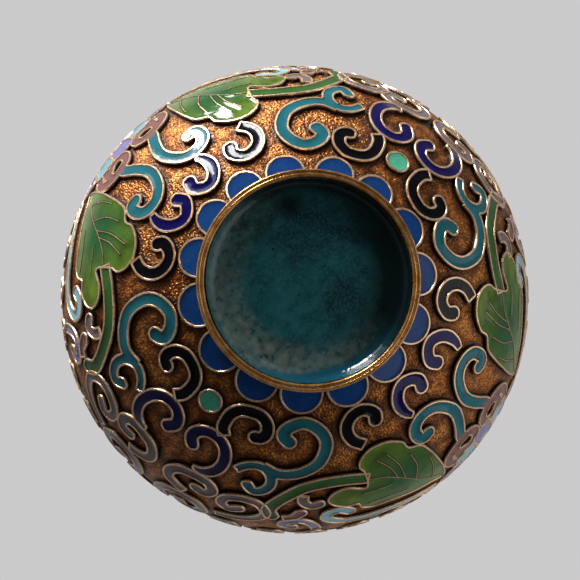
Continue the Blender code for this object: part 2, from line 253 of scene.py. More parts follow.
def is_inside(places, outline):
    """Whether each place lies inside a closed outline."""
    x, y = places[:, 0][:, None], places[:, 1][:, None]
    x0, y0 = outline[:, 0][None, :], outline[:, 1][None, :]
    x1, y1 = np.roll(outline[:, 0], -1)[None, :], np.roll(outline[:, 1], -1)[None, :]
    crosses = (y0 > y) != (y1 > y)
    with np.errstate(divide="ignore", invalid="ignore"):
        reach = (x1 - x0) * (y - y0) / (y1 - y0) + x0
    return (np.sum(crosses & (x < reach), axis=1) % 2).astype(bool)


def nearest(places, others):
    """Distance in millimetres from each place to the nearest of the others."""
    best = np.full(len(places), 1e9)
    for start in range(0, len(others), 400):
        gaps = places[:, None, :] - others[None, start:start + 400, :]
        best = np.minimum(best, np.sqrt((gaps ** 2).sum(axis=2)).min(axis=1))
    return best * radius_at(places[:, 1])


def chains(line, kept):
    """The kept stretches of a closed line, each an open line. One that is kept whole comes back closed."""
    if kept.all():
        return [(line, True)]
    if not kept.any():
        return []
    first = int(np.argmax(kept & ~np.roll(kept, 1)))
    line, kept = np.roll(line, -first, axis=0), np.roll(kept, -first)
    found, start = [], None
    for i, keep in enumerate(np.append(kept, False)):
        if keep and start is None:
            start = i
        if not keep and start is not None:
            if i - start > 3:
                found.append((line[start:i], False))
            start = None
    return found


# ---------- meshes ----------

class Build:
    """Vertices, faces and three marks for each vertex, gathered for one object."""

    def __init__(self):
        self.points, self.faces, self.marks, self.count = [], [], [], 0

    def add(self, points, faces, marks=None):
        self.points.append(points)
        self.faces += [tuple(int(k) + self.count for k in face) for face in faces]
        self.marks.append(np.zeros((len(points), 3)) if marks is None else marks)
        self.count += len(points)

    def make(self, name, material, slot, replaced=()):
        mesh = bpy.data.meshes.new(name)
        mesh.from_pydata(np.concatenate(self.points).tolist(), [], self.faces)
        marks = np.concatenate(self.marks)
        layer = mesh.color_attributes.new("marks", "FLOAT_COLOR", "POINT")
        layer.data.foreach_set("color", np.concatenate([marks, np.ones((len(marks), 1))], axis=1).ravel())
        mesh.shade_smooth()
        mesh.set_sharp_from_angle(angle=math.radians(50))
        mesh.materials.append(material)
        made = bpy.data.objects.new(name, mesh)
        bpy.context.scene.collection.objects.link(made)
        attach(made, "root")
        if replaced:
            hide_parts(*replaced)
        return made


def bridge(rings, closed):
    """Quads between rings, each a closed loop of vertex numbers. closed joins the last ring to the first."""
    faces = []
    for a, b in zip(rings, rings[1:] + rings[:1] if closed else rings[1:]):
        for k in range(len(a)):
            m = (k + 1) % len(a)
            faces.append((a[k], b[k], b[m], a[m]))
    return faces


# A wire's section, as (sideways in millimetres, share of its height). Solder spreads at its foot.
WIRE_SECTION = (
    (-0.34, 0.0), (-0.23, 0.4), (-0.2, 0.9), (-0.12, 1.0), (0.12, 1.0), (0.2, 0.9), (0.23, 0.4), (0.34, 0.0))
wire_lines = []             # every wire's centre line, for the painted shade and patina on the ground beside it


def add_wire(build, line, closed=False, top=RELIEF, width=1.0, shade_and_tarnish=0.0):
    """A wire standing along a line. Its second mark falls from 1 at its foot to the given tarnish at its top;
    down the wire's walls that mark paints shade.
    """
    wire_lines.append(line)
    sections = [on_vase(shifted(line, side * width, closed), share * top) for side, share in WIRE_SECTION]
    points = np.stack(sections, axis=1).reshape(-1, 3)
    count = len(WIRE_SECTION)
    rings = [list(range(i * count, (i + 1) * count)) for i in range(len(line))]
    faces = bridge(rings, closed)
    if not closed:
        faces += [tuple(rings[0]), tuple(reversed(rings[-1]))]
    marks = np.zeros((len(points), 3))
    # Second mark: painted shade down the walls, darkest at the foot, with tarnish at the top only on a leaf's
    # veins.
    marks[:, 1] = np.tile([1 - share * (1 - shade_and_tarnish) for _, share in WIRE_SECTION], len(line))
    build.add(points, faces, marks)


def inner_places(outlines):
    """Places for the vertices inside the outlines: rows along them, and a staggered grid in the middle."""
    border = np.concatenate(outlines)
    step = ENAMEL_STEP / float(radius_at(border[:, 1].mean()))
    low, high = border.min(axis=0), border.max(axis=0)
    places = []
    for outline in outlines:
        for depth in SHORE_DEPTHS:
            moved = shifted(outline, depth, closed=True)
            line = spread(np.concatenate([moved, moved[:1]]), ENAMEL_STEP, closed=True)
            places.append(line[nearest(line, border) > depth - 0.05])
    for i, y in enumerate(np.arange(low[1], high[1], step * GRID_ROWS)):
        x = np.arange(low[0] + step * (i % 2) / 2, high[0], step)
        row = np.stack([x, np.full(len(x), y)], axis=1)
        if len(row):
            places.append(row[nearest(row, border) > SHORE_DEPTHS[-1] + ENAMEL_STEP * GRID_GAP])
    places = np.concatenate(places)
    held = np.zeros(len(places), bool)
    for outline in outlines:
        held |= is_inside(places, outline)
    return places[held]


def add_enamel(build, outlines, walls, mark=None):
    """Enamel filling the outlines, level in the middle and drawn up against its wires, along the walls.
    mark gives each place its second and third marks; the first is its distance from a wire."""
    middle = outlines[0].mean(axis=0)
    scale = float(radius_at(middle[1]))
    places = np.concatenate([*outlines, inner_places(outlines)])
    rings, start = [], 0
    for outline in outlines:
        rings.append(list(range(start, start + len(outline))))
        start += len(outline)
    vertices = [Vector(p) for p in (places - middle) * scale]
    flat, _, tops, _, _, _ = delaunay_2d_cdt(vertices, [], rings, 1, 1e-5)
    places = np.array([tuple(v) for v in flat]) / scale + middle
    centres = np.array([places[list(face)].mean(axis=0) for face in tops])
    held = np.zeros(len(centres), bool)
    for outline in outlines:
        held |= is_inside(centres, outline)
    tops = [tuple(face) for face, keep in zip(tops, held) if keep]
    gap = nearest(places, np.concatenate(walls))
    lift = ENAMEL_LEVEL + ENAMEL_RISE * np.exp(-np.maximum(gap - WIRE_HALF_WIDTH, 0) / ENAMEL_SHORE)
    marks = np.zeros((len(places), 3))
    # The first mark, distance from a wire, brings the enamel's painted shade along its wires.
    marks[:, 0] = np.minimum(gap / MARK_REACH, 1)
    if mark:
        marks[:, 1:] = mark(places)
    total = len(places)
    edges = set()
    for face in tops:
        for pair in zip(face, face[1:] + face[:1]):
            if pair[::-1] in edges:
                edges.remove(pair[::-1])
            else:
                edges.add(pair)
    faces = list(tops)
    faces += [tuple(k + total for k in reversed(face)) for face in tops]
    faces += [(b, a, a + total, b + total) for a, b in sorted(edges)]
    floor = on_vase(places, np.full(total, ENAMEL_FLOOR))
    build.add(np.concatenate([on_vase(places, lift), floor]), faces, np.concatenate([marks, marks]))


def add_cell(wires, enamel, outlines, mark=None, veins=()):
    """A cell of one or more joined outlines: a wire round the whole, finer wires inside, and its enamel."""
    walls = []
    for i, outline in enumerate(outlines):
        hidden = np.zeros(len(outline), bool)
        for other in outlines[:i] + outlines[i + 1:]:
            hidden |= is_inside(outline, other) & (nearest(outline, other) > JOIN_DEPTH)
        for line, closed in chains(outline, ~hidden):
            add_wire(wires, line, closed)
            walls.append(line)
    for line in veins:
        add_wire(wires, line, top=RELIEF * VEIN_TOP, width=VEIN_WIDTH, shade_and_tarnish=VEIN_TARNISH)
        walls.append(line)
    add_enamel(enamel, outlines, walls, mark)


# ---------- materials ----------
# A piece's marks are its distance from a wire, as a share of MARK_REACH, and two that its maker explains.

def new_material(name, metallic=0.0):
    made = bpy.data.materials.new(name)
    made.use_nodes = True
    shader = made.node_tree.nodes["Principled BSDF"]
    shader.inputs["Metallic"].default_value = metallic
    return made, made.node_tree, shader


def noise(tree, size, detail=3.0, output="Fac"):
    """Noise whose features are about this many millimetres across."""
    coords = tree.nodes.new("ShaderNodeTexCoord")
    made = tree.nodes.new("ShaderNodeTexNoise")
    made.inputs["Scale"].default_value = 1 / (size * MM)
    made.inputs["Detail"].default_value = detail
    tree.links.new(coords.outputs["Object"], made.inputs["Vector"])
    return made.outputs[output]


def grains(tree, size):
    """Distance to the middle of the nearest of uneven grains, about this many millimetres across."""
    coords = tree.nodes.new("ShaderNodeTexCoord")
    wander = tree.nodes.new("ShaderNodeVectorMath")
    wander.operation = "MULTIPLY_ADD"
    wander.inputs[1].default_value = (size * MM, size * MM, size * MM)
    tree.links.new(noise(tree, size * 1.3, 2.0, "Color"), wander.inputs[0])
    tree.links.new(coords.outputs["Object"], wander.inputs[2])
    made = tree.nodes.new("ShaderNodeTexVoronoi")
    made.inputs["Scale"].default_value = 1 / (size * MM)
    tree.links.new(wander.outputs["Vector"], made.inputs["Vector"])
    return made.outputs["Distance"]


def ramp(tree, value, start, end, low=0.0, high=1.0):
    """A grey that goes from low to high as the value goes from start to end."""
    made = tree.nodes.new("ShaderNodeMapRange")
    for key, number in (("From Min", start), ("From Max", end), ("To Min", low), ("To Max", high)):
        made.inputs[key].default_value = number
    tree.links.new(value, made.inputs["Value"])
    return made.outputs["Result"]


def mixed(tree, share, a, b):
    """Colour a, turning to b as share rises from 0 to 1. a is a colour or a socket."""
    made = tree.nodes.new("ShaderNodeMix")
    made.data_type = "RGBA"
    factor, first, second = (socket for socket in made.inputs if socket.enabled)
    tree.links.new(share, factor)
    if isinstance(a, bpy.types.NodeSocket):
        tree.links.new(a, first)
    else:
        first.default_value = (*a, 1)
    second.default_value = (*b, 1)
    return next(socket for socket in made.outputs if socket.enabled)


def bump(tree, shader, height, distance, before=None):
    """Bump of this many millimetres on the shader, over an earlier one."""
    made = tree.nodes.new("ShaderNodeBump")
    made.inputs["Distance"].default_value = distance * MM
    tree.links.new(height, made.inputs["Height"])
    if before:
        tree.links.new(before.outputs["Normal"], made.inputs["Normal"])
    tree.links.new(made.outputs["Normal"], shader.inputs["Normal"])
    return made


def marks_of(tree):
    attribute = tree.nodes.new("ShaderNodeAttribute")
    attribute.attribute_name = "marks"
    split = tree.nodes.new("ShaderNodeSeparateColor")
    tree.links.new(attribute.outputs["Color"], split.inputs["Color"])
    return split.outputs


def enamel_material(name, colour, second, third, depth):
    """Glossy opaque enamel, mottled, with painted shade along its wires. second and third are its marks'
    colours.
    """
    made, tree, shader = new_material(name)
    gap, second_mark, third_mark = marks_of(tree)
    body = mixed(tree, ramp(tree, noise(tree, 3.2), 0.35, 0.7), colour, [depth * c for c in colour])
    if second:
        body = mixed(tree, second_mark, body, second)
    if third:
        body = mixed(tree, third_mark, body, third)
    clouds = ramp(tree, noise(tree, 0.9, 5.0), 0.5, 0.8, 0.0, 0.5)
    body = mixed(tree, clouds, body, [0.55 * c for c in colour])
    # Painted shade in a thin band along the wires.
    body = mixed(tree, ramp(tree, gap, 0.17, 0.1), body, [0.15 * c for c in colour])
    pits = ramp(tree, grains(tree, 1.5), 0.09, 0.05)
    body = mixed(tree, pits, body, [0.2 * c for c in colour])
    tree.links.new(body, shader.inputs["Base Color"])
    tree.links.new(ramp(tree, noise(tree, 1.2), 0.35, 0.75, 0.06, 0.2), shader.inputs["Roughness"])
    shader.inputs["Specular IOR Level"].default_value = 0.28
    swell = bump(tree, shader, noise(tree, 1.7, 2.0), 0.05)
    bump(tree, shader, pits, -0.04, swell)
    return made


def metal_material(name, bright, dull, roughness, metallic):
    """Gilt wire or brass, worn bright in patches. Its second mark brings painted shade down a wire's walls,
    and tarnish on a leaf's veins.
    """
    made, tree, shader = new_material(name, metallic)
    shade_and_tarnish = marks_of(tree)[1]
    body = mixed(tree, ramp(tree, noise(tree, 2.0, 5.0), 0.4, 0.65), bright, dull)
    body = mixed(tree, ramp(tree, noise(tree, 0.4), 0.62, 0.75, 0.0, 0.7), body, [0.3 * c for c in dull])
    # Painted shade on the wires' walls, darkest at their feet, and the veins' tarnish.
    body = mixed(tree, ramp(tree, shade_and_tarnish, 0.05, 0.35), body, (0.035, 0.016, 0.008))
    tree.links.new(body, shader.inputs["Base Color"])
    wear = ramp(tree, noise(tree, 0.7, 4.0), 0.3, 0.75, roughness, roughness + 0.2)
    tree.links.new(wear, shader.inputs["Roughness"])
    bump(tree, shader, noise(tree, 0.35), 0.03)
    return made


def ground_material():
    """Gilt copper, punched all over, dark between its grains, and with painted shade and patina along the
    wires.
    """
    made, tree, shader = new_material("punched_gilt")
    gap = marks_of(tree)[0]
    domes = grains(tree, 0.42)
    patches = ramp(tree, noise(tree, 5.0, 4.0), 0.38, 0.62)
    body = mixed(tree, patches, (0.86, 0.34, 0.072), (0.66, 0.205, 0.034))
    body = mixed(tree, ramp(tree, noise(tree, 2.2, 5.0), 0.47, 0.62, 0.0, 0.85), body, (0.17, 0.05, 0.014))
    body = mixed(tree, ramp(tree, noise(tree, 0.55, 3.0), 0.5, 0.66, 0.0, 0.8), body, (0.16, 0.05, 0.015))
    body = mixed(tree, ramp(tree, domes, 0.4, 0.75, 0.0, 0.8), body, (0.16, 0.06, 0.02))
    # Painted shade, with some patina, along the wires: darker the nearer a wire.
    body = mixed(tree, ramp(tree, gap, 0.86, 0.24, 0.0, 0.95), body, (0.085, 0.026, 0.009))
    body = mixed(tree, ramp(tree, gap, 0.3, 0.17), body, (0.02, 0.008, 0.004))
    tree.links.new(body, shader.inputs["Base Color"])
    tree.links.new(ramp(tree, gap, 0.2, 0.42, 0.2, 0.7), shader.inputs["Metallic"])
    tree.links.new(ramp(tree, noise(tree, 0.5), 0.35, 0.7, 0.26, 0.5), shader.inputs["Roughness"])
    swell = bump(tree, shader, noise(tree, 1.6), 0.16)
    bump(tree, shader, ramp(tree, domes, 0.75, 0.0), 0.16, swell)
    return made


def base_material():
    """Dark mottled enamel with specks of grime. Its marks bring the fillet painted lighter on one side, pale
    residue, and the foot ring's painted shade with a burnt spot.
    """
    made, tree, shader = new_material("base_enamel_glaze")
    fillet, edge, ring_shade_and_burn = marks_of(tree)
    mottle = ramp(tree, noise(tree, 2.6, 8.0), 0.35, 0.68)
    body = mixed(tree, mottle, (0.004, 0.050, 0.058), (0.014, 0.095, 0.105))
    shades = ramp(tree, noise(tree, 6.0, 5.0), 0.46, 0.66, 0.0, 0.85)
    body = mixed(tree, shades, body, (0.003, 0.018, 0.022))
    body = mixed(tree, ramp(tree, noise(tree, 0.4, 6.0), 0.45, 0.75, 0.0, 0.55), body, (0.045, 0.11, 0.115))
    # Painted light: the fillet lighter and bluer on one side.
    body = mixed(tree, fillet, body, (0.004, 0.06, 0.095))
    specks = ramp(tree, noise(tree, 0.8, 2.0), 0.69, 0.75)
    body = mixed(tree, specks, body, (0.004, 0.012, 0.014))
    crumbs = tree.nodes.new("ShaderNodeMath")
    crumbs.operation = "MULTIPLY"
    tree.links.new(ramp(tree, noise(tree, 1.3, 10.0), 0.28, 0.72), crumbs.inputs[0])
    tree.links.new(edge, crumbs.inputs[1])
    body = mixed(tree, crumbs.outputs["Value"], body, (0.17, 0.19, 0.145))
    # Painted shade of the foot ring over the base, and the burnt spot.
    body = mixed(tree, ring_shade_and_burn, body, (0.002, 0.005, 0.005))
    tree.links.new(body, shader.inputs["Base Color"])
    tree.links.new(ramp(tree, crumbs.outputs["Value"], 0.0, 0.5, 0.1, 0.65), shader.inputs["Roughness"])
    swell = bump(tree, shader, noise(tree, 2.4, 3.0), 0.12)
    bump(tree, shader, crumbs.outputs["Value"], 0.05, swell)
    return made


WIRE_GILT = metal_material("wire_gilt", (0.95, 0.68, 0.44), (0.78, 0.47, 0.26), 0.22, 0.7)
RING_BRASS = metal_material("ring_brass", (0.82, 0.42, 0.15), (0.52, 0.22, 0.06), 0.13, 0.75)
GROUND = ground_material()
BASE_GLAZE = base_material()

# Each kind of enamel: its slot in the record, its colour and those of its second and third marks.
GLAZES = {
    "black": ("black_enamel", (0.003, 0.003, 0.005), None, None),
    "cobalt": ("cobalt_enamel", (0.006, 0.004, 0.075), (0.10, 0.08, 0.13), None),
    "turquoise": ("turquoise_enamel", (0.016, 0.128, 0.158), (0.19, 0.085, 0.072), None),
    "lappet_blue": ("lappet_blue_enamel", (0.009, 0.050, 0.19), None, None),
    "mint": ("mint_enamel", (0.08, 0.42, 0.26), None, None),
    "leaf": ("leaf_green_enamel", (0.118, 0.19, 0.016), (0.011, 0.075, 0.021), (0.18, 0.23, 0.145)),
    "mauve": ("rose_enamel", (0.175, 0.118, 0.12), None, (0.19, 0.185, 0.21)),
    "rose": ("rose_enamel", (0.20, 0.083, 0.072), None, (0.25, 0.155, 0.145)),
    "lilac": ("rose_enamel", (0.22, 0.20, 0.42), None, None),
    "pale_blue": ("turquoise_enamel", (0.24, 0.46, 0.52), None, None),
    "flower_heart": ("rose_enamel", (0.55, 0.36, 0.06), None, None),
}
# How dark a glaze's patches are, as a share of its colour.
DEPTHS = {"lappet_blue": 0.85, "leaf": 0.4}
ENAMELS = {
    kind: (enamel_material(f"{kind}_glaze", *colours, DEPTHS.get(kind, 0.75)), slot)
    for kind, (slot, *colours) in GLAZES.items()}


# ---------- the pattern ----------
# One unit runs from a dot axis, at 0, to a flower axis, at 90. It is laid four times, mirrored about them,
# and again above the equator. A place in it is (degrees from the dot axis, run from the foot).
# A scroll's first place is its tail, and its last is in its curl.

UNIT = 90.0
SCROLLS = {
    "black_inner_scroll": ("black", [
        (10.6, 12.7), (9.0, 11.4), (8.6, 9.8), (9.3, 8.0),
        (12.0, 6.7), (15.9, 6.2), (19.7, 6.3), (22.8, 7.4),
        (23.7, 9.0), (22.6, 10.2), (20.3, 10.5)]),
    "black_outer_scroll": ("black", [
        (59.0, 12.9), (55.7, 11.4), (54.3, 9.5), (55.1, 7.8),
        (57.7, 6.6), (61.2, 6.2), (64.3, 6.7), (66.2, 7.9),
        (65.6, 9.1)]),
    "cobalt_lower_scroll": ("cobalt", [
        (75.2, 12.2), (73.6, 10.8), (73.1, 8.9), (74.4, 7.3),
        (77.1, 6.2), (79.9, 6.0), (82.9, 6.6), (84.8, 7.8),
        (83.8, 9.2)]),
    "turquoise_long_scroll": ("turquoise", [
        (25.5, 16.2), (30.2, 17.2), (34.9, 16.9), (39.0, 15.9),
        (42.4, 14.4), (44.5, 12.2), (45.2, 10.1), (44.0, 8.3),
        (41.1, 6.9), (37.3, 6.2), (33.5, 6.6), (30.5, 7.7), (29.9, 9.0), (32.2, 10.1)]),
    "turquoise_upper_scroll": ("turquoise", [
        (84.6, 27.2), (84.6, 25.0), (86.3, 22.0), (87.5, 18.9), (86.8, 16.4),
        (84.4, 14.2), (80.9, 13.2), (77.3, 13.4), (74.7, 14.6),
        (74.3, 16.4), (75.5, 17.6), (77.6, 17.4)]),
    "cobalt_upper_scroll": ("cobalt", [
        (8.9, 23.4), (11.2, 23.3), (13.4, 22.5), (15.2, 20.7), (15.7, 18.3),
        (14.5, 16.0), (11.7, 14.5), (7.9, 14.2), (4.8, 15.2),
        (3.7, 16.9), (5.2, 18.6)]),
    "lower_mauve_scroll": ("mauve", [
        (8.6, 32.0), (4.1, 30.4), (2.9, 28.2), (4.6, 25.9),
        (8.4, 24.9), (12.6, 25.1), (14.8, 26.8), (13.4, 28.6),
        (10.8, 28.4)]),
    "upper_mauve_scroll": ("mauve", [
        (5.0, 43.4), (3.2, 39.0), (4.8, 35.4), (9.0, 34.0),
        (12.8, 34.8), (14.8, 37.2), (13.4, 39.8), (10.4, 40.2),
        (8.7, 38.2)]),
    "side_mauve_scroll": ("mauve", [
        (17.0, 36.0), (22.4, 34.7), (26.6, 32.8), (28.6, 30.2),
        (26.6, 27.4), (22.2, 26.5), (18.0, 27.8), (17.2, 30.2),
        (19.3, 31.5), (21.9, 30.4)]),
    "stem_bud": ("mauve", [(38.4, 22.6), (38.4, 24.3), (40.2, 25.6), (42.6, 25.2)]),
    "stem_tip": ("rose", [(33.8, 30.4), (36.2, 29.9), (38.0, 28.2)]),
    "lilac_scroll": ("lilac", [
        (42.4, 36.8), (41.6, 34.4), (40.0, 32.4), (37.3, 31.5), (34.6, 32.3), (34.2, 34.2), (36.6, 34.8)]),
    "high_turquoise_scroll": ("turquoise", [
        (86.9, 17.6), (86.3, 15.8), (84.0, 14.5), (80.9, 13.9),
        (77.3, 14.1), (74.9, 15.2), (74.6, 16.8), (76.0, 17.8),
        (77.9, 17.3)]),
    "high_blue_scroll": ("pale_blue", [
        (60.0, 35.5), (54.0, 35.7), (48.8, 34.6), (46.2, 32.4), (47.4, 30.3), (50.6, 29.9), (53.0, 31.3)]),
    "pale_blue_scroll": ("pale_blue", [
        (73.0, 38.0), (67.0, 36.4), (59.0, 34.8), (52.4, 34.2), (47.4, 33.2),
        (44.6, 31.0), (45.3, 28.9), (48.2, 28.4), (50.4, 29.6)]),
}
SLIM = {"lower_mauve_scroll": 0.95, "upper_mauve_scroll": 0.95, "side_mauve_scroll": 0.85, "stem_tip": 0.95,
        "stem_bud": 0.85, "lilac_scroll": 0.8, "pale_blue_scroll": 0.9}
TAILS = {"cobalt_upper_scroll": 0.35, "cobalt_lower_scroll": 0.5}   # widths of the tapered tails, as shares
TAIL_LENGTH, TAIL_EASE = 3.0, 0.7
CURL_SWELL, CURL_START = 0.12, 0.75     # how much wider a scroll is in its curl, and where that starts
# Bands that join a scroll, so that one wire runs round them all: (width at the start, places).
JOINED_END = 0.95
JOINED = {
    "turquoise_long_scroll": [(0.72, [
        (18.3, 18.5), (20.7, 16.9), (24.2, 16.2), (27.1, 17.0),
        (28.8, 18.7), (28.6, 20.7), (26.8, 22.2), (24.4, 22.6),
        (22.7, 21.4)])],
    "turquoise_upper_scroll": [
        (0.9, [
            (84.0, 26.7), (86.6, 26.9), (88.2, 28.3), (88.0, 30.0),
            (86.2, 31.0), (84.0, 30.9), (82.7, 30.2)]),
        (0.9, [(86.0, 26.9), (83.4, 26.8), (80.8, 27.4), (78.9, 28.8), (78.4, 30.6), (79.4, 32.2)]),
        (0.7, [(81.6, 27.6), (81.5, 29.6), (81.9, 32.0)])],
    "high_turquoise_scroll": [
        (0.8, [(75.9, 14.8), (72.8, 14.9), (70.1, 16.1), (69.0, 18.2), (70.2, 20.0), (72.2, 19.8)])],
}

LEAF = [
    (55.9, 22.6), (50.8, 21.4), (47.4, 21.9), (45.4, 23.7),
    (46.3, 25.6), (49.4, 26.9), (53.0, 27.2), (53.9, 28.9),
    (56.7, 30.0), (61.5, 30.4), (67.1, 31.6), (72.6, 32.9),
    (76.0, 34.2), (76.9, 30.6), (76.6, 26.2), (75.8, 22.2),
    (74.2, 19.1), (70.6, 17.6), (69.6, 15.6), (65.4, 13.8),
    (60.2, 13.6), (56.4, 14.9), (55.0, 16.8), (56.2, 18.6)]
STEM = [
    (56.9, 20.2), (50.8, 19.1), (44.6, 19.0), (39.0, 19.9),
    (34.9, 22.0), (31.8, 24.6), (30.2, 27.3), (31.2, 29.7)]
LEAF_VEINS = [
    [(56.6, 20.6), (61.2, 21.6), (65.5, 24.1), (70.2, 28.4), (75.6, 32.8)],
    [(64.8, 23.8), (63.6, 20.0), (60.4, 16.6)],
    [(66.6, 24.9), (66.2, 20.2), (63.8, 16.2)],
    [(69.0, 27.2), (70.7, 23.2), (70.3, 19.4)],
    [(73.2, 30.6), (74.6, 26.8), (74.8, 23.3)],
    [(54.9, 24.2), (58.4, 24.4), (62.6, 24.6)],
    [(55.2, 28.3), (59.8, 28.2), (66.2, 29.2)]]
LEAF_HEART = (66.0, 24.0)

# How far each quarter's pieces lie from the drawing, in its units, as they were bent and laid by hand.
LAID = {
    "east_back": {
        "black_inner_scroll": (1.0, -0.2), "black_outer_scroll": (-1.3, -0.6),
        "cobalt_lower_scroll": (0.3, -0.3), "turquoise_upper_scroll": (0.0, 1.0),
        "cobalt_upper_scroll": (-0.6, 0.0), "turquoise_long_scroll": (0.0, 0.2),
        "leaf": (-2.6, 0.1)},
    "east_front": {
        "black_inner_scroll": (1.0, 0.0), "turquoise_long_scroll": (1.4, 0.2),
        "black_outer_scroll": (2.0, 0.7), "cobalt_lower_scroll": (4.3, 0.1),
        "turquoise_upper_scroll": (-1.4, 0.6), "cobalt_upper_scroll": (-1.0, 0.0),
        "leaf": (-3.0, 1.9), "pale_blue_scroll": (-2.4, 0.7),
        "side_mauve_scroll": (-2.4, 0.0), "lower_mauve_scroll": (-1.2, 0.2),
        "stem_tip": (-2.0, 1.4), "stem_bud": (-2.0, 1.6)},
    "west_back": {
        "black_outer_scroll": (-1.2, -0.4), "cobalt_lower_scroll": (1.5, 0.0),
        "turquoise_upper_scroll": (0.0, 0.6), "cobalt_upper_scroll": (-1.5, -0.5),
        "leaf": (-0.3, 0.3), "side_mauve_scroll": (0.8, -0.7)},
    "west_front": {},
}
QUARTERS = {
    "east_back": (DOT_AXES[0], FLOWER_AXES[0]),
    "east_front": (DOT_AXES[0], FLOWER_AXES[1] - 360),
    "west_back": (DOT_AXES[1], FLOWER_AXES[0]),
    "west_front": (DOT_AXES[1], FLOWER_AXES[1]),
}
# Curls close together along the equator: how far up the body they are, and each one's degrees and enamel.
CURL_RUN, CURL_RADIUS = 41.3, 2.6
CURL_SWEEP, CURL_END = 1.62 * math.pi, 0.45     # how far one turns, and its radius at its end, as a share
CURL_TILT = 0.6             # radians
CURL_SQUARENESS, CURL_SLIM, CURL_PLACES = 0.75, 0.86, 40
CURLS = ((21.2, "pale_blue"), (31.4, "mauve"), (41.6, "lilac"), (51.8, "rose"), (62.0, "pale_blue"))
UPPER_CURL_SHARE = 0.948    # of those degrees above the equator, clear of the flowers' petals

# Above the equator the flowers leave room for smaller scrolls and leaves.
ONLY_BELOW = ("turquoise_upper_scroll", "pale_blue_scroll")
ONLY_ABOVE = ("high_turquoise_scroll", "high_blue_scroll")
UPPER_LEAF_SCALE = 0.62
UPPER_LEAF_HEART = (55.0, 22.0)
STEM_WIDTH = 1.12
STEM_MARKS = (0.75, 0.0)

MINT_RUNS = (9.5, 8.5)      # how far up the body the mint dots are, on each dot axis
MINT_RADIUS = 1.98
LAPPET_CENTRES = (
    -2.2, 22.3, 46.8, 72.8, 96.6, 120.5, 144.5, 168.5, 193.0, 219.0, 243.5, 266.0, 287.5, 309.8, 335.3)
LAPPET_FOOT, LAPPET_TOP = 0.35, 4.35
LAPPET_GAP = 1.1            # degrees from a lappet's wire to halfway to the next one's
FLOWER_RUN = 54.0
FLOWER_PETALS = 24
FLOWER_REACH = 20.2         # of a petal, but for those that point at the foot
FLOWER_HEART_RADIUS = 2.5
PETAL_LENGTH, PETAL_STAGGER = 4.5, 0.5
PETAL_TIP = 2.2             # length of a petal's rounded end
PETAL_GAP, PETAL_SEAM = 0.3, 0.14   # clearance from the ring inside, and half of that from the next petal
# Rings of petals, from outside: (how many, distance from the flower's centre, their two enamels).
FLOWER_RINGS = (
    (FLOWER_PETALS, 12.6, ("lilac", "pale_blue")), (16, 7.4, ("rose", "rose")), (8, 2.7, ("mauve", "mauve")))
LONG_PETALS = {0: 23.0, 1: 21.9, FLOWER_PETALS - 1: 21.9}


def mirrored(places):
    """The same places above the equator."""
    return np.stack([places[:, 0], 2 * q_at(EQUATOR_RUN) - places[:, 1]], axis=1)


def laid(quarter, name, drawing, above):
    """Where the drawing's places lie on the body in a quarter."""
    start, end = QUARTERS[quarter]
    along, up = LAID[quarter].get(name, (0.0, 0.0))
    drawing = np.asarray(drawing, float)
    azimuth = np.radians(start + (end - start) * (drawing[:, 0] + along) / UNIT)
    places = np.stack([azimuth, q_at(drawing[:, 1] + up)], axis=1)
    return mirrored(places) if above else places


def scroll_outlines(line, slim=1.0, tail=1.0):
    """A scroll's outline. It swells at its curl, and tail is its width at its tail's end, as a share."""
    share = np.linspace(0, 1, len(line))
    grown = np.clip(np.arange(len(line)) * WIRE_STEP / TAIL_LENGTH, 0, 1) ** TAIL_EASE
    widths = SCROLL_HALF_WIDTH * slim * (tail + (1 - tail) * grown)
    swell = 1.0 + CURL_SWELL * np.clip((share - CURL_START) / (1 - CURL_START), 0, 1)
    return [band_outline(line, widths * swell)]


def climb(places, start, end):
    """How far each place is on its way from one run up the body to another, mirrored above the equator."""
    height = EQUATOR_RUN - np.abs(run_at(places[:, 1]) - EQUATOR_RUN)
    return np.clip((height - start) / (end - start), 0, 1)


def fade_mark(places):
    """Second mark 0, and third mark rising from 0 low on the body to 1 near the equator."""
    return np.stack([np.zeros(len(places)), climb(places, 24.0, 38.0)], axis=1)


def turning_mark(start, end):
    """Second mark rising from 0 to 1 between two runs, where one enamel is run into another."""
    def mark(places):
        return np.stack([climb(places, start, end), np.zeros(len(places))], axis=1)
    return mark


def leaf_mark(heart):
    """A leaf is bluer near its heart and paler towards the equator, where its paler glaze is partly a painted
    sheen.
    """
    def mark(places):
        away = np.linalg.norm(places - heart, axis=1) * radius_at(places[:, 1])
        # Third mark: paler glaze towards the equator, partly painted sheen.
        return np.stack([np.clip(1.25 - away / 8.0, 0, 1), climb(places, 26.0, 35.0) * 0.9], axis=1)
    return mark


MARKS = {"mauve": fade_mark, "cobalt_upper_scroll": turning_mark(22.0, 23.6),
         "turquoise_upper_scroll": turning_mark(25.2, 26.8)}


def add_scroll(wires, enamel, quarter, name, above):
    kind, drawing = SCROLLS[name]
    line = smooth_line(laid(quarter, name, drawing, above))
    outlines = scroll_outlines(line, SLIM.get(name, 1.0), TAILS.get(name, 1.0))
    for start_width, places in JOINED.get(name, ()):
        line = smooth_line(laid(quarter, name, places, above))
        widths = SCROLL_HALF_WIDTH * np.linspace(start_width, JOINED_END, len(line))
        outlines.append(band_outline(line, widths))
    add_cell(wires, enamel, outlines, MARKS.get(name, MARKS.get(kind)))


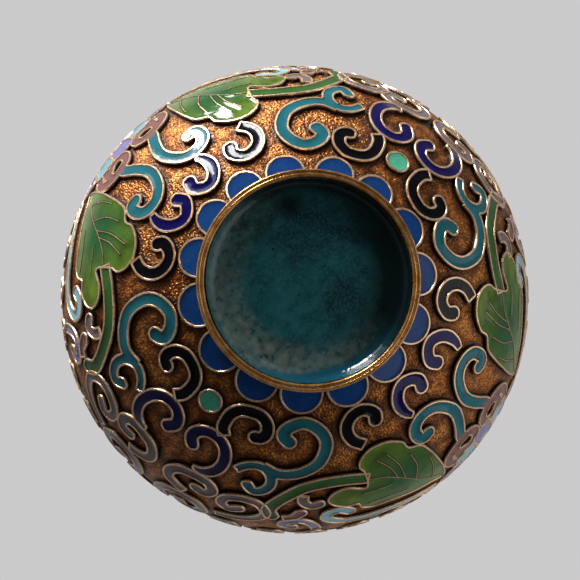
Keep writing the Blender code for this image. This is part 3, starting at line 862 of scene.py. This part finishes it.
def add_curls(wires, enamels, quarter, above):
    """Tight curls side by side, just below or above the equator. Every other one turns the other way."""
    for i, (degrees, kind) in enumerate(CURLS):
        share = UPPER_CURL_SHARE if above else 1.0
        centre = laid(quarter, "curl", [(degrees * share, CURL_RUN)], above)[0]
        turns = np.linspace(0, CURL_SWEEP, CURL_PLACES) + CURL_TILT
        reach = np.linspace(CURL_RADIUS, CURL_END * CURL_RADIUS, CURL_PLACES) / radius_at(centre[1])
        flip = 1 if i % 2 else -1
        up = -1 if above else 1
        across, high = (np.sign(x) * np.abs(x) ** CURL_SQUARENESS for x in (np.cos(turns), np.sin(turns)))
        line = centre + np.stack([flip * reach * across, up * reach * high], axis=1)
        outlines = scroll_outlines(spread(line, WIRE_STEP), CURL_SLIM)
        add_cell(wires, enamels.setdefault(kind, Build()), outlines, MARKS.get(kind))


def leaf_places(quarter, drawing, above):
    """A leaf's places. Above the equator the leaf is smaller and stands clear of the flower."""
    drawing = np.asarray(drawing, float)
    if above:
        shift = np.subtract(UPPER_LEAF_HEART, LEAF_HEART)
        drawing = np.asarray(LEAF_HEART) + (drawing - LEAF_HEART) * UPPER_LEAF_SCALE + shift
    return laid(quarter, "leaf", drawing, above)


def add_leaf(wires, enamel, quarter, above):
    """A leaf with its veins, and its stem, a cell of its own."""
    outline = counter_clockwise(smooth_line(leaf_places(quarter, LEAF, above), closed=True))
    veins = [smooth_line(leaf_places(quarter, vein, above)) for vein in LEAF_VEINS]
    heart = leaf_places(quarter, [LEAF_HEART], above)[0]
    add_cell(wires, enamel, [outline], leaf_mark(heart), veins)
    stem = smooth_line(leaf_places(quarter, STEM, above))
    slim = STEM_WIDTH * (UPPER_LEAF_SCALE if above else 1.0)
    outlines = scroll_outlines(stem, slim)
    add_cell(wires, enamel, outlines, lambda places: np.tile(STEM_MARKS, (len(places), 1)))


def make_half(half, above):
    """A half of the body: each quarter's scrolls, leaf and wires. Below the equator, a scroll or leaf of the
    CAD model is a piece of its own. Above it, the flowers leave room for fewer."""
    for quarter in QUARTERS:
        wires, others = Build(), {}
        for name, (kind, _) in SCROLLS.items():
            if name in (ONLY_BELOW if above else ONLY_ABOVE):
                continue
            node_name = f"{name}_{quarter}"
            own = not above and node_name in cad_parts
            enamel = Build() if own else others.setdefault(kind, Build())
            add_scroll(wires, enamel, quarter, name, above)
            if own:
                enamel.make(f"{node_name}_enamel", *ENAMELS[kind], [node_name])
        add_curls(wires, others, quarter, above)
        leaf = others.setdefault("leaf", Build()) if above else Build()
        add_leaf(wires, leaf, quarter, above)
        if not above:
            leaf.make(f"leaf_{quarter}_enamel", *ENAMELS["leaf"], [f"leaf_{quarter}"])
        for kind, enamel in others.items():
            enamel.make(f"{half}_{kind}_{quarter}_enamel", *ENAMELS[kind])
        wires.make(f"{half}_wires_{quarter}", WIRE_GILT, "polished_brass")


def lappet_shapes(foot, top, centres):
    """For each half-round lappet, its arch and its whole outline. foot and top are runs."""
    count = len(centres)
    for i, centre in enumerate(centres):
        before = centres[i - 1] - (360 if i == 0 else 0)
        after = centres[(i + 1) % count] + (360 if i == count - 1 else 0)
        half = min(after - centre, centre - before) / 2 - LAPPET_GAP
        angles = np.linspace(0, math.pi, 25)
        runs = foot + (top - foot) * np.sin(angles)
        arch = np.stack([np.radians(centre - half * np.cos(angles)), q_at(runs)], axis=1)
        floor = np.linspace(arch[-1], arch[0], 14)[1:-1]
        yield spread(arch, WIRE_STEP), closed_outline(np.concatenate([arch, floor]))


def make_foot_border():
    """Blue lappets, each a cell of its own, round the foot ring."""
    wires = Build()
    for i, (arch, outline) in enumerate(lappet_shapes(LAPPET_FOOT, LAPPET_TOP, LAPPET_CENTRES)):
        add_wire(wires, arch)
        enamel = Build()
        add_enamel(enamel, [outline], [arch])
        enamel.make(f"foot_lappet_{i + 1:02d}_enamel", *ENAMELS["lappet_blue"], [f"foot_lappet_{i + 1:02d}"])
    wires.make("foot_border_wires", WIRE_GILT, "polished_brass", ["foot_border_wire"])


def add_dot(wires, enamel, azimuth, q, radius):
    centre = np.array([azimuth, q])
    add_cell(wires, enamel, [closed_outline(arc(centre, (1.0, 0.0), radius, math.tau, 48))])


def make_dots():
    """The mint dots on each dot axis: by the foot, on the equator and above it."""
    wires = Build()
    for axis, run, side in zip(DOT_AXES, MINT_RUNS, ("east", "west")):
        enamel = Build()
        add_dot(wires, enamel, math.radians(axis), float(q_at(run)), MINT_RADIUS)
        enamel.make(f"mint_dot_{side}_enamel", *ENAMELS["mint"], [f"mint_dot_{side}"])
    others = Build()
    for axis, run in zip(DOT_AXES, MINT_RUNS):
        for q in (q_at(EQUATOR_RUN), 2 * q_at(EQUATOR_RUN) - q_at(run)):
            add_dot(wires, others, math.radians(axis), float(q), MINT_RADIUS)
    others.make("upper_mint_dots_enamel", *ENAMELS["mint"])
    wires.make("dot_wires", WIRE_GILT, "polished_brass")


def petal_outline(centre, turn, near, reach, half_angle):
    """A petal between two distances from a flower's centre, turned this many radians from straight down."""
    along = np.linspace(near, reach, 14)
    tip = np.clip((along - (reach - PETAL_TIP)) / PETAL_TIP, 0, 1)
    halves = (along * math.tan(half_angle) - PETAL_SEAM) * np.sqrt(1 - tip ** 2)
    side = np.stack([halves, -along], axis=1)
    other = np.stack([-halves, -along], axis=1)[::-1]
    flat = np.concatenate([side, other[1:]])
    turned_x = flat[:, 0] * math.cos(turn) - flat[:, 1] * math.sin(turn)
    turned_y = flat[:, 0] * math.sin(turn) + flat[:, 1] * math.cos(turn)
    return closed_outline(centre + np.stack([turned_x, turned_y], axis=1) / radius_at(centre[1]))


def make_flowers():
    """A chrysanthemum on each flower axis: three rings of petals round a heart."""
    for axis, side in zip(FLOWER_AXES, ("back", "front")):
        centre = np.array([math.radians(axis), float(q_at(FLOWER_RUN))])
        wires, enamels = Build(), {}
        for count, near, kinds in FLOWER_RINGS:
            for i in range(count):
                reach = near + PETAL_LENGTH
                if count == FLOWER_PETALS:
                    reach = LONG_PETALS.get(i, FLOWER_REACH - PETAL_STAGGER * (i % 2))
                angle = math.tau * i / count
                outline = petal_outline(centre, angle, near + PETAL_GAP, reach, math.pi / count)
                add_cell(wires, enamels.setdefault(kinds[i % 2], Build()), [outline])
        enamels["flower_heart"] = Build()
        add_dot(wires, enamels["flower_heart"], *centre, FLOWER_HEART_RADIUS)
        for kind, enamel in enamels.items():
            enamel.make(f"flower_{side}_{kind}_enamel", *ENAMELS[kind], [f"flower_{side}"])
        wires.make(f"flower_{side}_wires", WIRE_GILT, "polished_brass")


# The neck's rows, from its ring up: (name of the scroll, distance along the profile from the shoulder).
NECK_ROWS = (
    ("black_inner_scroll", 13.6), ("turquoise_upper_scroll", 22.4), ("cobalt_upper_scroll", 31.4),
    ("black_inner_scroll", 40.2), ("turquoise_upper_scroll", 49.4), ("cobalt_upper_scroll", 59.0))
NECK_TURNS = 8
NECK_SCROLL_SCALE, NECK_SLIM = 0.92, 0.85
# Rows of lappets: (how many, run at their feet, run at their tops).
NECK_BORDERS = (
    (12, NECK_RING_RUN + 1.6, NECK_RING_RUN + 5.2),
    (16, MOUTH_RUN - 1.4, MOUTH_RUN - 6.0),
    (15, NECK_RING_RUN - 1.6, NECK_RING_RUN - 5.0))


def neck_scroll(name, azimuth, q, flip):
    """A scroll's line centred on a place of the neck, near its drawn size, and mirrored where flip is -1."""
    drawing = np.asarray(SCROLLS[name][1], float)
    local = np.stack([np.radians(drawing[:, 0]), q_at(drawing[:, 1])], axis=1)
    middle = (local.max(axis=0) + local.min(axis=0)) / 2
    size = float(radius_at(middle[1])) / float(radius_at(q))
    shape = (local - middle) * size * NECK_SCROLL_SCALE
    return smooth_line(np.array([azimuth, q]) + shape * (flip, 1))


def make_neck():
    """Rows of scrolls round the neck in facing pairs, and lappets at both ends and under the neck ring."""
    wires, enamels = Build(), {}
    for row, (name, up) in enumerate(NECK_ROWS):
        kind = SCROLLS[name][0]
        q = float(q_at(SHOULDER_RUN + up))
        for i in range(NECK_TURNS):
            azimuth = math.radians(DOT_AXES[0]) + math.tau * (i + 0.5) / NECK_TURNS
            line = neck_scroll(name, azimuth, q, 1 if (i + row) % 2 == 0 else -1)
            add_cell(wires, enamels.setdefault(kind, Build()), scroll_outlines(line, NECK_SLIM))
    lappets = enamels.setdefault("lappet_blue", Build())
    for count, foot, top in NECK_BORDERS:
        for arch, outline in lappet_shapes(foot, top, [360 * i / count for i in range(count)]):
            add_wire(wires, arch)
            add_enamel(lappets, [outline], [arch])
    for kind, enamel in enamels.items():
        enamel.make(f"neck_{kind}_enamel", *ENAMELS[kind])
    wires.make("neck_wires", WIRE_GILT, "polished_brass")


# ---------- turned pieces ----------

WAVES = 14


def unevenness(places, size, seed):
    """Smooth unevenness between about -1 and 1 at each place, with bumps about size millimetres across."""
    rng = np.random.default_rng(seed)
    most = int(2 * BODY_RADIUS / size)
    total = np.zeros(len(places))
    for _ in range(WAVES):
        turns = rng.integers(-most, most + 1)
        climbs = rng.uniform(-most, most)
        phase = rng.uniform(0, math.tau)
        total += np.sin(turns * places[:, 0] + climbs * places[:, 1] + phase)
    return total / 5


def make_ground(name, replaced, first, last, columns, rows):
    """A copper wall between two runs. Its gilt outside is uneven, and is marked by how near the wires are."""
    azimuths = np.linspace(0, math.tau, columns, endpoint=False)
    qs = np.linspace(q_at(first), q_at(last), rows)
    places = np.stack([np.tile(azimuths, rows), np.repeat(qs, columns)], axis=1)
    outside = on_vase(places, ground_lift(places) + GROUND_SWELL * unevenness(places, 2.2, 1))
    inside = on_vase(places, np.full(len(places), -COPPER))
    marks = np.zeros((2 * len(places), 3))
    marks[:, 0] = 1
    # The first mark, distance from the nearest wire, brings the ground's painted shade and patina beside the
    # wires.
    for i, point in enumerate(outside):
        marks[i, 0] = min(wire_tree.find(point)[2] / MM / MARK_REACH, 1)
    rings = [list(range(r * columns, (r + 1) * columns)) for r in range(rows)]
    inner_rings = [[k + len(places) for k in ring] for ring in reversed(rings)]
    facing_out = [list(reversed(ring)) for ring in rings + inner_rings]
    build = Build()
    build.add(np.concatenate([outside, inside]), bridge(facing_out, True), marks)
    build.make(name, GROUND, "gilt_copper", [replaced])


def turn(outline, segments=256, wobble=0.0):
    """Points and faces of an outline of (radius, height) turned about the axis, out of round by wobble."""
    outline = np.asarray(outline, float)
    azimuths = np.linspace(0, math.tau, segments, endpoint=False)
    swing = 1 + wobble * (np.sin(2 * azimuths + 0.6) + 0.6 * np.sin(3 * azimuths + 2.0))
    radii = np.outer(swing, outline[:, 0])
    heights = np.tile(outline[:, 1], (segments, 1))
    turned = [radii * np.cos(azimuths)[:, None], radii * np.sin(azimuths)[:, None], heights]
    points = np.stack(turned, axis=2).reshape(-1, 3) * MM
    rings = [list(range(i * len(outline), (i + 1) * len(outline))) for i in range(segments)]
    return points, bridge(rings, True)


def rounded(corners, radius):
    """A closed outline through these corners, each of them eased."""
    corners = np.asarray(corners, float)
    points = []
    for i, corner in enumerate(corners):
        ends = []
        for other in (corners[i - 1], corners[(i + 1) % len(corners)]):
            away = other - corner
            length = np.linalg.norm(away)
            ends.append(corner + away * min(radius, length / 2.2) / length)
        for t in np.linspace(0, 1, 5):
            points.append((1 - t) ** 2 * ends[0] + 2 * (1 - t) * t * corner + t ** 2 * ends[1])
    return np.array(points)


# Sections of the brass rings, counter-clockwise: the foot ring's as (radius, height), the neck ring's as
# (along the profile, over the wires' tops) and the mouth rim's as (radius, height) from the mouth's edge.
FOOT_RING_SECTION = (
    (RIM_INNER_RADIUS, 0.5), (16.95, 0.0), (17.3, 0.0), (17.5, 0.14), (17.7, 0.0), (18.05, 0.0),
    (RIM_RADIUS, 0.6), (18.0, 2.2), (17.7, 3.3), (17.3, BASE_HIGH), (RIM_INNER_RADIUS, BASE_HIGH))
NECK_RING_SECTION = ((1.0, 0.2), (1.0, -0.6), (-1.0, -0.6), (-1.0, 0.2), (-0.55, 0.85), (0.55, 0.85))
MOUTH_RIM_SECTION = (
    (-0.6, -1.0), (0.5, -0.6), (0.9, 0.2), (0.3, 0.8), (-0.9, 0.8), (-1.6, 0.2), (-1.9, -0.5))
FOOT_WOBBLE = 0.003


def make_ring(node_name, corners, ease, wobble=0.0):
    """A brass ring in place of a CAD piece."""
    build = Build()
    build.add(*turn(rounded(corners, ease), wobble=wobble))
    build.make(f"{node_name}_worn", RING_BRASS, "polished_brass", [node_name])


def make_rings():
    """The foot ring, neck ring and mouth rim."""
    make_ring("foot_ring", FOOT_RING_SECTION, 0.35, FOOT_WOBBLE)
    corners = []
    for along, lift in NECK_RING_SECTION:
        place = np.array([[0.0, float(q_at(NECK_RING_RUN + along))]])
        x, _, z = on_vase(place, np.array([RELIEF + lift]))[0] / MM
        corners.append((x, z))
    make_ring("neck_ring", corners, 0.35)
    make_ring("mouth_rim", [(MOUTH_RADIUS + out, MOUTH_Z + up) for out, up in MOUTH_RIM_SECTION], 0.4)


def disc(outline, segments=200):
    """Points and faces of a turned piece without a hole, whose outline runs from the axis and back to it."""
    outline = np.asarray(outline, float)
    points, faces = turn(outline[1:-1], segments)
    count = len(outline) - 2
    ends = np.array([(0, 0, outline[0, 1]), (0, 0, outline[-1, 1])]) * MM
    # The turned outline closes on itself by a tube round the axis; two fans take that tube's place.
    faces = [face for face in faces if abs(face[0] % count - face[3] % count) == 1]
    low, high = len(points), len(points) + 1
    for i in range(segments):
        j = (i + 1) % segments
        faces.append((low, j * count, i * count))
        faces.append((high, i * count + count - 1, j * count + count - 1))
    return np.concatenate([points, ends]), faces


# Azimuths, in radians, of the side where the base's fillet is painted lighter, of its residue, where that
# climbs the ring, and of the foot ring's painted shade on the base.
LIT_FILLET_SIDE, RESIDUE_SIDE, CLIMB_SIDE, RING_SHADE_SIDE = 1.95, 3.1, 4.1, 0.8
SPOT = (7.9, -10.6)         # the middle of a burnt spot, from the axis
SPOT_RADIUS = 2.6
# The outlines of the base enamel's fillet and of the copper disc, as (radius, height).
FILLET_SECTION = (
    (14.6, 2.42), (15.2, 2.25), (15.7, 1.98), (16.1, 1.6), (16.35, 1.15), (16.5, 0.75), (16.65, 0.6),
    (16.7, 0.75), (16.7, 3.04), (0.0, 3.04))
BASE_DISC_SECTION = ((0.0, 3.1), (16.5, 3.1), (16.6, 3.2), (16.6, 4.1), (16.5, BASE_HIGH), (0.0, BASE_HIGH))
LINING_FLOOR_RADII = (15.6, 15.3)   # of the lining's floor, underneath and on top


def make_base():
    """The base enamel, with a fillet that climbs the foot ring, and the copper disc it lies on."""
    flat = [(radius, RECESS_Z) for radius in (0.0, *np.linspace(0.3, 13.8, 40))]
    points, faces = disc([*flat, *FILLET_SECTION])
    marks = np.zeros((len(points), 3))
    radii = np.hypot(points[:, 0], points[:, 1]) / MM
    azimuths = np.arctan2(points[:, 1], points[:, 0])
    limit = 14.8 + 1.9 * np.clip(0.3 + 1.3 * np.cos(azimuths - CLIMB_SIDE), 0, 1)
    residue = np.clip((radii - 9.8) / 3.0, 0, 1) * np.clip((limit - radii) / 0.8, 0, 1)
    # First mark: the fillet painted lighter on the side that faces the light.
    marks[:, 0] = np.clip((radii - 14.5) / 0.6, 0, 1) * np.clip(np.cos(azimuths - LIT_FILLET_SIDE), 0, 1)
    marks[:, 1] = residue * np.clip(0.3 + 0.4 * np.cos(azimuths - RESIDUE_SIDE), 0, 1)
    # Third mark: painted shade of the foot ring, a crescent on one side and a thin band along the rim, with a
    # burnt spot.
    crescent = np.clip((radii - 8.0) / 4.5, 0, 1) * np.clip(1.6 * np.cos(azimuths - RING_SHADE_SIDE) - 0.4, 0, 1)
    rim = np.clip((radii - 14.0) / 1.5, 0, 1) * np.clip(0.5 + np.cos(azimuths), 0, 1)
    spot = 1.2 - np.hypot(points[:, 0] / MM - SPOT[0], points[:, 1] / MM - SPOT[1]) / SPOT_RADIUS
    marks[:, 2] = 0.93 * np.maximum(np.maximum(crescent, rim), np.clip(spot, 0, 0.9))
    places = np.stack([azimuths, radii / 18], axis=1)
    low_side = points[:, 2] < 2.8 * MM
    swell = 0.09 * unevenness(places, 9.0, 5) * np.clip(radii / 4, 0, 1) * np.clip(1 - radii / 16, 0, 1)
    points[low_side, 2] += MM * swell[low_side]
    build = Build()
    build.add(points, faces, marks)
    build.make("base_enamel_mottled", BASE_GLAZE, "base_turquoise_enamel", ["base_enamel"])
    build = Build()
    build.add(*disc(BASE_DISC_SECTION))
    build.make("base_disc_copper", GROUND, "gilt_copper", ["base_disc"])


def make_lining(name, replaced, first, last, rows, floor=None):
    """Enamel inside the vase between two runs, with a floor where its height is given."""
    places = np.stack([np.zeros(rows), np.linspace(q_at(first), q_at(last), rows)], axis=1)
    outer = on_vase(places, np.full(rows, -COPPER - SEAT))[:, [0, 2]] / MM
    inner = on_vase(places, np.full(rows, -COPPER - SEAT - LINING))[::-1][:, [0, 2]] / MM
    build = Build()
    if floor is None:
        build.add(*turn(np.concatenate([outer, inner])))
    else:
        below, above = LINING_FLOOR_RADII
        top = floor + LINING
        build.add(*disc([(0.0, floor), (below, floor), *outer, *inner, (above, top), (0.0, top)]))
    build.make(name, BASE_GLAZE, "base_turquoise_enamel", [replaced])


# ---------- stage ----------
# The camera's place, in metres, and the directions away from what it looks at and upwards in its picture.
CAMERA_PLACE = (-0.0291, 0.0012, -0.250)
CAMERA_AWAY, CAMERA_TOP = (-0.1033, 0.0103, -1.0), (0.780, -0.625, 0.0)
LENS, SENSOR = 97.1, 36.0
SHEET_SIDES = 96


def aimed(name, data, location, away, top):
    """A camera or light at a place, facing opposite to the direction away, with top upwards."""
    made = bpy.data.objects.new(name, data)
    away, top = Vector(away).normalized(), Vector(top)
    right = top.cross(away).normalized()
    facing = Matrix((right, away.cross(right), away)).transposed().to_4x4()
    made.matrix_world = Matrix.Translation(location) @ facing
    bpy.context.scene.collection.objects.link(made)
    return made


def make_camera():
    """It looks up at the foot from below, a little askew."""
    data = bpy.data.cameras.new("camera")
    data.lens = LENS
    data.sensor_width = SENSOR
    data.clip_start = 0.01
    bpy.context.scene.camera = aimed("camera", data, CAMERA_PLACE, CAMERA_AWAY, CAMERA_TOP)


def make_sheet(name, radius, height, colour, facing_up):
    """A plain round sheet that shows from one side only and casts nothing on the vase."""
    mesh = bpy.data.meshes.new(name)
    angles = np.linspace(0, math.tau, SHEET_SIDES, endpoint=False)
    rim = [(radius * math.cos(a), radius * math.sin(a), height) for a in angles]
    mesh.from_pydata(rim, [], [tuple(range(SHEET_SIDES))])
    made = bpy.data.materials.new(name)
    made.use_nodes = True
    tree = made.node_tree
    tree.nodes.remove(tree.nodes["Principled BSDF"])
    paint = tree.nodes.new("ShaderNodeEmission")
    paint.inputs["Color"].default_value = (*colour, 1)
    clear = tree.nodes.new("ShaderNodeBsdfTransparent")
    geometry = tree.nodes.new("ShaderNodeNewGeometry")
    mix = tree.nodes.new("ShaderNodeMixShader")
    tree.links.new(geometry.outputs["Backfacing"], mix.inputs[0])
    sides = (paint, clear) if facing_up else (clear, paint)
    for shader, socket in zip(sides, mix.inputs[1:]):
        tree.links.new(shader.outputs[0], socket)
    tree.links.new(mix.outputs[0], tree.nodes["Material Output"].inputs["Surface"])
    mesh.materials.append(made)
    sheet = bpy.data.objects.new(name, mesh)
    sheet.visible_shadow = sheet.visible_diffuse = sheet.visible_glossy = False
    bpy.context.scene.collection.objects.link(sheet)
    sheet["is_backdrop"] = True


# Soft lights: (name, azimuth, elevation, distance, width, height, power, whether they show in the glaze), in
# degrees, metres and watts.
LIGHTS = (
    ("window", -64, -6, 0.9, 0.23, 0.64, 15.0, True),
    ("curtain", -74, -6, 0.95, 0.20, 0.62, 1.3, True),
    ("sky", -69, -4, 1.3, 1.4, 1.0, 11.0, False),
    ("side", 66, -6, 1.3, 1.4, 1.0, 10.5, False),
    ("far_wall", 64, -22, 1.2, 1.3, 1.2, 4.0, True),
    ("room", 0, -90, 1.1, 1.2, 1.2, 1.3, False),
    ("above", 150, 55, 1.2, 1.0, 1.0, 8.0, False),
)


def make_lights():
    for name, azimuth, elevation, distance, width, height, power, shown in LIGHTS:
        data = bpy.data.lights.new(name, "AREA")
        data.shape = "RECTANGLE"
        data.size, data.size_y = width, height
        data.energy = power
        a, e = math.radians(azimuth), math.radians(elevation)
        away = Vector((math.cos(a) * math.cos(e), math.sin(a) * math.cos(e), math.sin(e)))
        top = (0, 0, 1) if abs(elevation) < 80 else (0, 1, 0)
        light = aimed(name, data, away * distance + Vector((0, 0, 0.04)), away, top)
        light.visible_glossy = shown


def make_world():
    """A dim room, darker below, where the camera is."""
    world = bpy.data.worlds.new("studio")
    world.use_nodes = True
    tree = world.node_tree
    coords = tree.nodes.new("ShaderNodeTexCoord")
    split = tree.nodes.new("ShaderNodeSeparateXYZ")
    tree.links.new(coords.outputs["Generated"], split.inputs["Vector"])
    shade = ramp(tree, split.outputs["Z"], -0.7, 0.5)
    air = mixed(tree, shade, (0.012, 0.012, 0.013), (0.235, 0.23, 0.245))
    tree.links.new(air, tree.nodes["Background"].inputs["Color"])
    bpy.context.scene.world = world


make_half("lower", above=False)
make_half("upper", above=True)
make_foot_border()
make_dots()
make_flowers()
make_neck()

wire_places = np.concatenate(wire_lines)
wire_points = on_vase(wire_places, ground_lift(wire_places))
wire_tree = KDTree(len(wire_points))
for number, point in enumerate(wire_points):
    wire_tree.insert(point, number)
wire_tree.balance()
make_ground("lower_ground", "lower_body_shell", 0.0, EQUATOR_RUN, 640, 112)
make_ground("upper_ground", "upper_body_shell", EQUATOR_RUN, SHOULDER_RUN - SEAT, 640, 96)
make_ground("neck_ground", "neck_tube", SHOULDER_RUN + SEAT, MOUTH_RUN - MOUTH_GAP, 320, 220)

make_rings()
make_base()
make_lining("lower_lining_glazed", "lower_body_lining", 0.0, EQUATOR_RUN - SEAT, 24, BASE_HIGH + SEAT)
make_lining("upper_lining_glazed", "upper_body_lining", EQUATOR_RUN + SEAT, SHOULDER_RUN - SEAT, 20)
make_lining("neck_lining_glazed", "neck_lining", SHOULDER_RUN + SEAT, MOUTH_RUN - MOUTH_GAP, 40)

make_camera()
make_sheet("floor", 3.0, 0.0, (0.62, 0.62, 0.63), facing_up=True)
make_sheet("backdrop", 0.36, 0.6, (0.60, 0.59, 0.60), facing_up=False)
make_lights()
make_world()
bpy.context.scene.view_settings.view_transform = "Standard"

new_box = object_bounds()
for label, box in (("cad", cad_box), ("visual", new_box)):
    json.dumps({label: [list(corner) for corner in box]}) + "\n"
